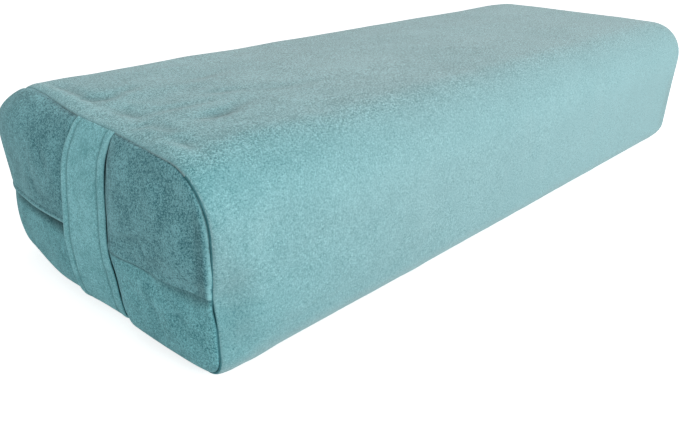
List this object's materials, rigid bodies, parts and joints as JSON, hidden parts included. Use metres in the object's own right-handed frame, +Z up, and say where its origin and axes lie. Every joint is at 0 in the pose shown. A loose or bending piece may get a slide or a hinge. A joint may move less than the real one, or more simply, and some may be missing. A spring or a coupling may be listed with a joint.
{
  "type": "rectangular yoga bolster",
  "caption": "Firm rectangular yoga bolster with crowned ends, a zipped suede-like cover, a flat strap handle on one end and a stuffed liner inside.",
  "frame": {"origin": "on the floor under the middle of the bolster", "axes": "+X along the length, away from the strap handle and the zip; +Y across the width, towards the fuller side of the handle end; +Z up"},
  "size_m": [0.7542, 0.288, 0.1515],
  "materials": {
    "suede": "matt brushed nap",
    "suede_strap": "matt brushed nap, doubled and topstitched",
    "liner_cloth": "plain woven cotton",
    "wadding": "loose fibre",
    "foam": "open-cell foam",
    "zip_tape": "dyed herringbone tape",
    "zip_coil": "dyed nylon coil",
    "zip_metal": "plated"
  },
  "bodies": {
    "bolster": {"cover_wrap": "suede", "end_panel_far": "suede", "end_panel_near_upper": "suede", "end_panel_near_lower": "suede", "handle_end_top": "suede_strap", "handle_end_bottom": "suede_strap", "zip_tape_upper": "zip_tape", "zip_tape_lower": "zip_tape", "zip_coil_upper": "zip_coil", "zip_coil_lower": "zip_coil", "zip_stop_top_upper": "zip_metal", "zip_stop_top_lower": "zip_metal", "zip_stop_bottom": "zip_metal", "liner_sleeve": "liner_cloth", "liner_end_near": "liner_cloth", "liner_end_far": "liner_cloth", "wadding_wrap": "wadding", "wadding_end_near": "wadding", "wadding_end_far": "wadding", "foam_core": "foam"},
    "handle": {"handle_strap": "suede_strap"},
    "slider": {"zip_slider": "zip_metal"},
    "pull": {"zip_pull": "zip_metal"}
  },
  "joints": [
    {"name": "handle_pull", "type": "slide", "parent": "bolster", "child": "handle", "axis": [-1, 0, 0], "range_m": [0, 0.01]},
    {"name": "zip_slide", "type": "slide", "parent": "bolster", "child": "slider", "axis": [0.0628, -0.998, 0], "range_m": [0, 0.2024]},
    {"name": "zip_pull_swing", "type": "hinge", "parent": "slider", "child": "pull", "pos_m": [-0.3695, 0.10078, 0.078], "axis": [0, 0, -1], "range_deg": [0, 6]}
  ]
}
